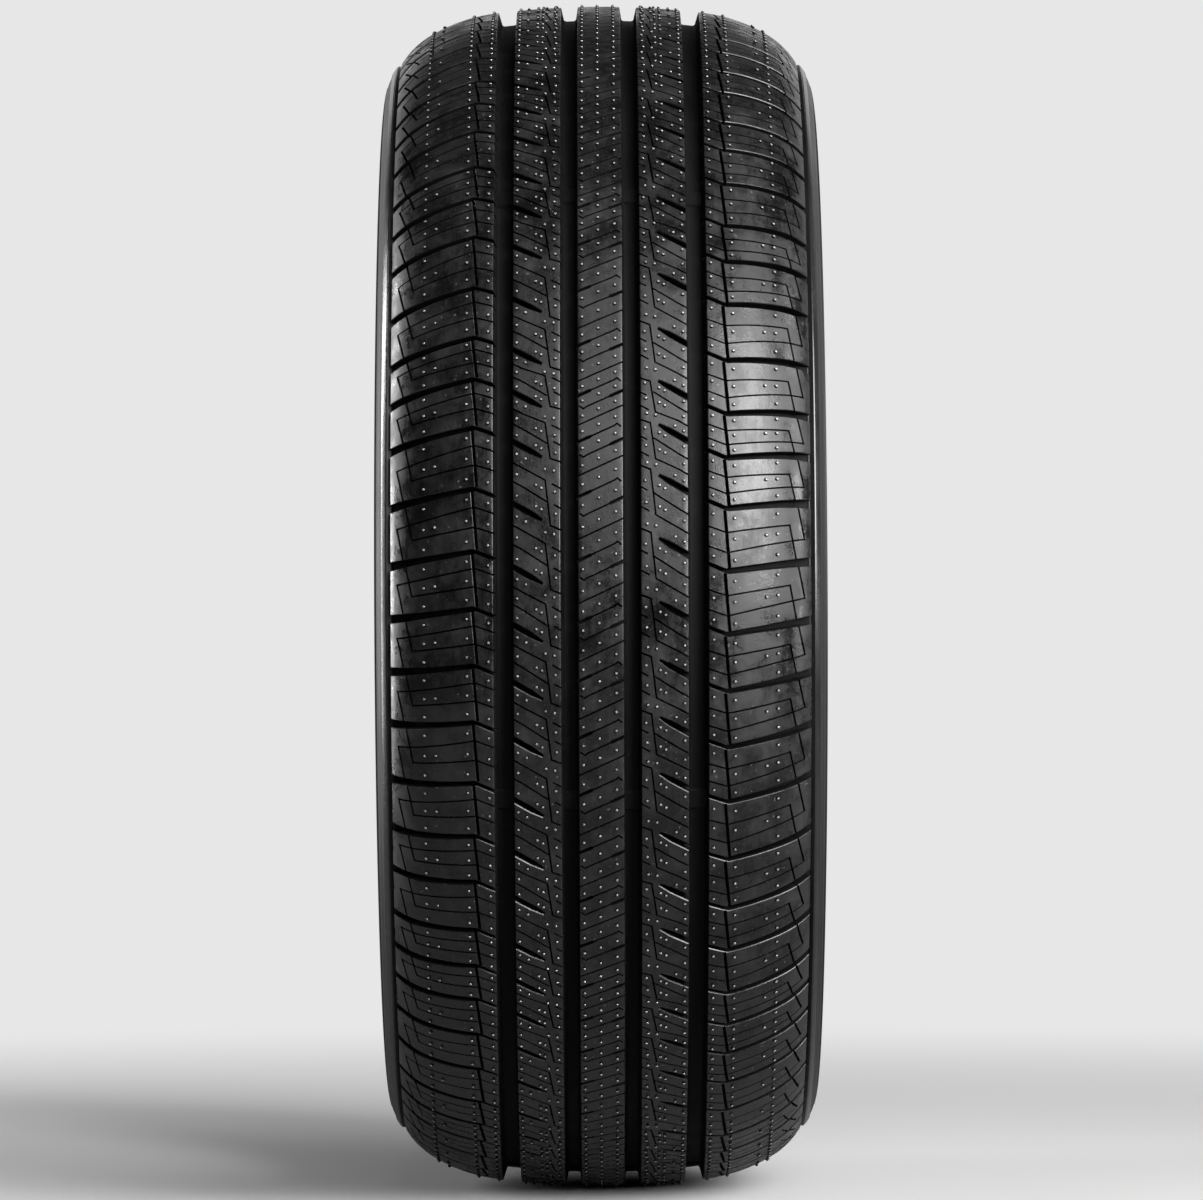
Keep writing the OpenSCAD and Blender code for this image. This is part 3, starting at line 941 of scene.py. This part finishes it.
# %% Paper and pale background
paper = bpy.data.materials.new("studio_paper")
paper.use_nodes = True
tree = paper.node_tree
matt = tree.nodes["Principled BSDF"]
matt.inputs["Roughness"].default_value = 0.9
pale = node(tree, "ShaderNodeEmission", [("Color", (1, 1, 1, 1)), ("Strength", PALE)])
ray = node(tree, "ShaderNodeLightPath")
tone = node(tree, "ShaderNodeMapRange", [("Value", ray.outputs["Is Camera Ray"]), ("To Min", 0.2),
                                         ("To Max", 0.54)])
tree.links.new(tone.outputs["Result"], matt.inputs["Base Color"])
mirrored = node(tree, "ShaderNodeMath", [(0, ray.outputs["Is Glossy Ray"]),
                                         (1, ray.outputs["Is Transmission Ray"])], operation="MAXIMUM")
spot = node(tree, "ShaderNodeTexCoord")
apart = node(tree, "ShaderNodeSeparateXYZ", [("Vector", spot.outputs["Object"])])
behind = node(tree, "ShaderNodeMapRange", [("Value", apart.outputs["X"]), ("From Min", -0.6),
                                           ("From Max", -2.1)], interpolation_type="SMOOTHSTEP")
reach = node(tree, "ShaderNodeVectorMath", [(0, spot.outputs["Object"])], operation="LENGTH")
away = node(tree, "ShaderNodeMapRange", [("Value", reach.outputs["Value"]), ("From Min", 0.4),
                                         ("From Max", 1.6)], interpolation_type="SMOOTHSTEP")
seen = node(tree, "ShaderNodeMath", [(0, ray.outputs["Is Camera Ray"]), (1, away.outputs["Result"])],
            operation="MULTIPLY")
shown = node(tree, "ShaderNodeMath", [(0, mirrored.outputs[0]), (1, behind.outputs["Result"])],
             operation="MULTIPLY")
share = node(tree, "ShaderNodeMath", [(0, seen.outputs[0]), (1, shown.outputs[0])], operation="MAXIMUM")
blend = node(tree, "ShaderNodeMixShader", [("Fac", share.outputs[0]), (1, matt.outputs[0]),
                                           (2, pale.outputs[0])])
tree.links.new(blend.outputs[0], tree.nodes["Material Output"].inputs["Surface"])
sheet.data.materials.append(paper)
print("sheet finish:", paper.name)

# %% [markdown]
# ## Tie the pieces to the CAD model
# The tyre is one body that turns as a whole. All pieces ride on it and stand for its one solid.

# %% Ride and replace
for piece in (*ribs.values(), carcass, wear_bars, nubs):
    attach(piece, "root")
    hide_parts("tyre")
